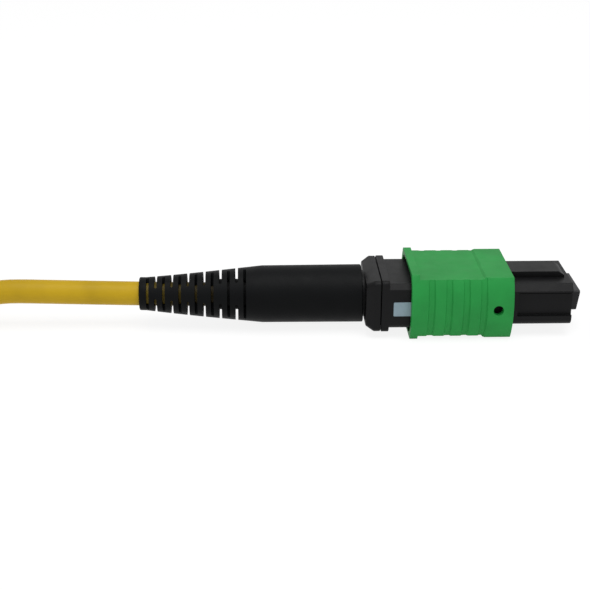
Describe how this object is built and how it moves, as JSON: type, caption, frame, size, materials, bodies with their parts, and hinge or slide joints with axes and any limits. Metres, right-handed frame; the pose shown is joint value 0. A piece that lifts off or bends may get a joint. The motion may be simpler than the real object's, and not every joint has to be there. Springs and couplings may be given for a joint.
{
  "type": "MPO fibre connector",
  "caption": "Green-sleeved female MPO multi-fibre plug with a black slotted boot on a round yellow patch cable.",
  "frame": {"origin": "on the surface that the plug lies on, under the middle of the plug from the boot's rear to the ferrule's tip", "axes": "+X the way the plug goes into its adapter, +Z the key side, up as it lies"},
  "size_m": [0.1207, 0.0323, 0.0162],
  "materials": {
    "green_plastic": "moulded",
    "black_plastic": "moulded",
    "black_rubber": "satin",
    "ferrule_resin": "polished end",
    "spring_steel": "drawn wire",
    "keeper_metal": "stamped",
    "crimp_metal": "crimped",
    "shrink_sleeve": "smooth",
    "aramid": "loose yarn",
    "yellow_jacket": "extruded",
    "tie_strip": "moulded",
    "fibre_blue": "coated",
    "fibre_orange": "coated",
    "fibre_green": "coated",
    "fibre_brown": "coated",
    "fibre_slate": "coated",
    "fibre_white": "coated",
    "fibre_red": "coated",
    "fibre_black": "coated",
    "fibre_yellow": "coated",
    "fibre_violet": "coated",
    "fibre_rose": "coated",
    "fibre_aqua": "coated"
  },
  "bodies": {
    "plug": {"inner_housing": "black_plastic", "spring_push": "black_plastic", "main_spring": "spring_steel", "sleeve_spring_left": "spring_steel", "sleeve_spring_right": "spring_steel", "crimp_ring": "crimp_metal", "aramid_yarn": "aramid", "cable_jacket_end": "yellow_jacket", "shrink_tube": "shrink_sleeve", "boot": "black_rubber", "cable_lead": "yellow_jacket", "cable_hank": "yellow_jacket", "cable_tie_right": "tie_strip", "cable_tie_left": "tie_strip"},
    "sleeve": {"outer_sleeve": "green_plastic"},
    "ferrule": {"ferrule": "ferrule_resin", "ferrule_boot": "black_rubber", "pin_keeper": "keeper_metal", "fibre_01": "fibre_blue", "fibre_02": "fibre_orange", "fibre_03": "fibre_green", "fibre_04": "fibre_brown", "fibre_05": "fibre_slate", "fibre_06": "fibre_white", "fibre_07": "fibre_red", "fibre_08": "fibre_black", "fibre_09": "fibre_yellow", "fibre_10": "fibre_violet", "fibre_11": "fibre_rose", "fibre_12": "fibre_aqua"}
  },
  "joints": [
    {"name": "sleeve_pull", "type": "slide", "parent": "plug", "child": "sleeve", "axis": [-1, 0, 0], "range_m": [0, 0.002], "stiffness_N_per_m": 600, "springref_m": -0.001, "deforming": ["sleeve_spring_left", "sleeve_spring_right"]},
    {"name": "ferrule_float", "type": "slide", "parent": "plug", "child": "ferrule", "axis": [-1, 0, 0], "range_m": [0, 0.0008], "stiffness_N_per_m": 3000, "springref_m": -0.0028, "deforming": ["main_spring"]}
  ]
}
